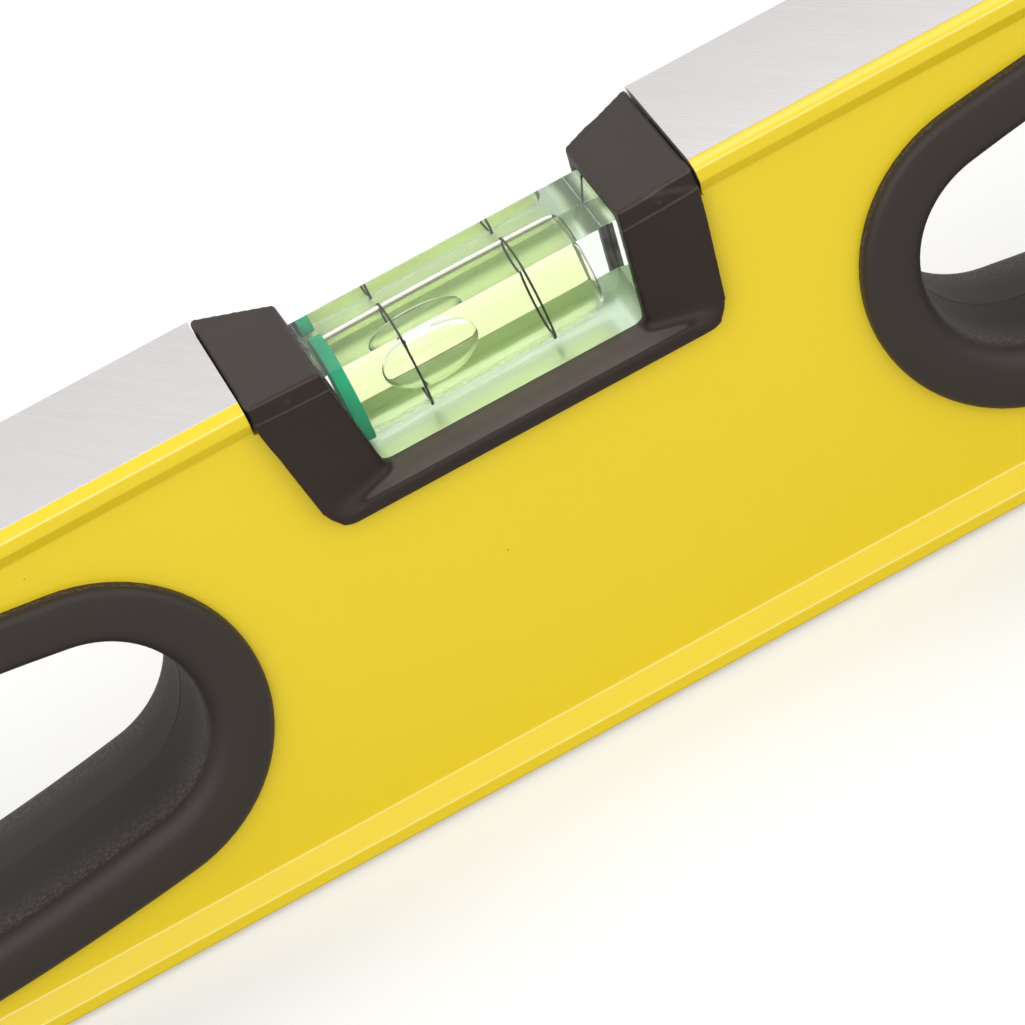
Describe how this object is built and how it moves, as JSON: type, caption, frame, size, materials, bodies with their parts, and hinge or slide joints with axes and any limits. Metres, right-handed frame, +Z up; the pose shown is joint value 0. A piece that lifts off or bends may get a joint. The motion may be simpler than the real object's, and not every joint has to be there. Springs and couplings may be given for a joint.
{
  "type": "magnetic spirit level",
  "caption": "Box-beam spirit level with a top-read level vial, plumb and 45 degree vials in the ends, soft-lined hand-holds and base magnets.",
  "frame": {"origin": "on the bottom measuring face, at the middle of its length and depth", "axes": "+X along the level to the right seen from its front, +Y to the back, +Z up from the bottom measuring face to the top one"},
  "size_m": [0.6, 0.025, 0.06],
  "materials": {
    "powder_coated_beam": "satin yellow powder coat, bare milled aluminium on the top and bottom faces",
    "soft_grip": "matt soft black",
    "black_plastic": "fine-textured black moulding",
    "clear_acrylic": "polished clear acrylic",
    "green_plug": "glossy green",
    "black_ring": "thin dark graduation ring",
    "vial_liquid": "clear yellow-green liquid",
    "bubble": "air bubble",
    "magnet": "plated disc"
  },
  "bodies": {
    "level": {"beam": "powder_coated_beam", "centre_holder": "black_plastic", "centre_liquid": "vial_liquid", "centre_ring_a": "black_ring", "centre_ring_b": "black_ring", "centre_vial_block": "clear_acrylic", "centre_vial_plug": "green_plug", "left_end_cap": "black_plastic", "left_grip_back": "soft_grip", "left_grip_front": "soft_grip", "magnet_1": "magnet", "magnet_2": "magnet", "magnet_3": "magnet", "magnet_4": "magnet", "plumb_holder_back": "black_plastic", "plumb_holder_front": "black_plastic", "plumb_liquid": "vial_liquid", "plumb_ring_a": "black_ring", "plumb_ring_b": "black_ring", "plumb_vial_block": "clear_acrylic", "plumb_vial_plug": "green_plug", "right_end_cap": "black_plastic", "right_grip_back": "soft_grip", "right_grip_front": "soft_grip", "tilted_holder_back": "black_plastic", "tilted_holder_front": "black_plastic", "tilted_liquid": "vial_liquid", "tilted_ring_a": "black_ring", "tilted_ring_b": "black_ring", "tilted_vial_block": "clear_acrylic", "tilted_vial_plug": "green_plug"},
    "centre_bubble": {"centre_bubble": "bubble"},
    "plumb_bubble": {"plumb_bubble": "bubble"},
    "tilted_bubble": {"tilted_bubble": "bubble"}
  },
  "joints": [
    {"name": "centre_bubble_drift", "type": "slide", "parent": "level", "child": "centre_bubble", "axis": [1, 0, 0], "range_m": [-0.0026, 0.0116], "stiffness_N_per_m": 1, "deforming": ["centre_liquid"]},
    {"name": "plumb_bubble_drift", "type": "slide", "parent": "level", "child": "plumb_bubble", "axis": [0, 0, 1], "range_m": [-0.026, 0], "stiffness_N_per_m": 1, "springref_m": 0.01, "deforming": ["plumb_liquid"]},
    {"name": "tilted_bubble_drift", "type": "slide", "parent": "level", "child": "tilted_bubble", "axis": [0.7071, 0, 0.7071], "range_m": [-0.024, 0], "stiffness_N_per_m": 1, "springref_m": 0.01, "deforming": ["tilted_liquid"]}
  ]
}
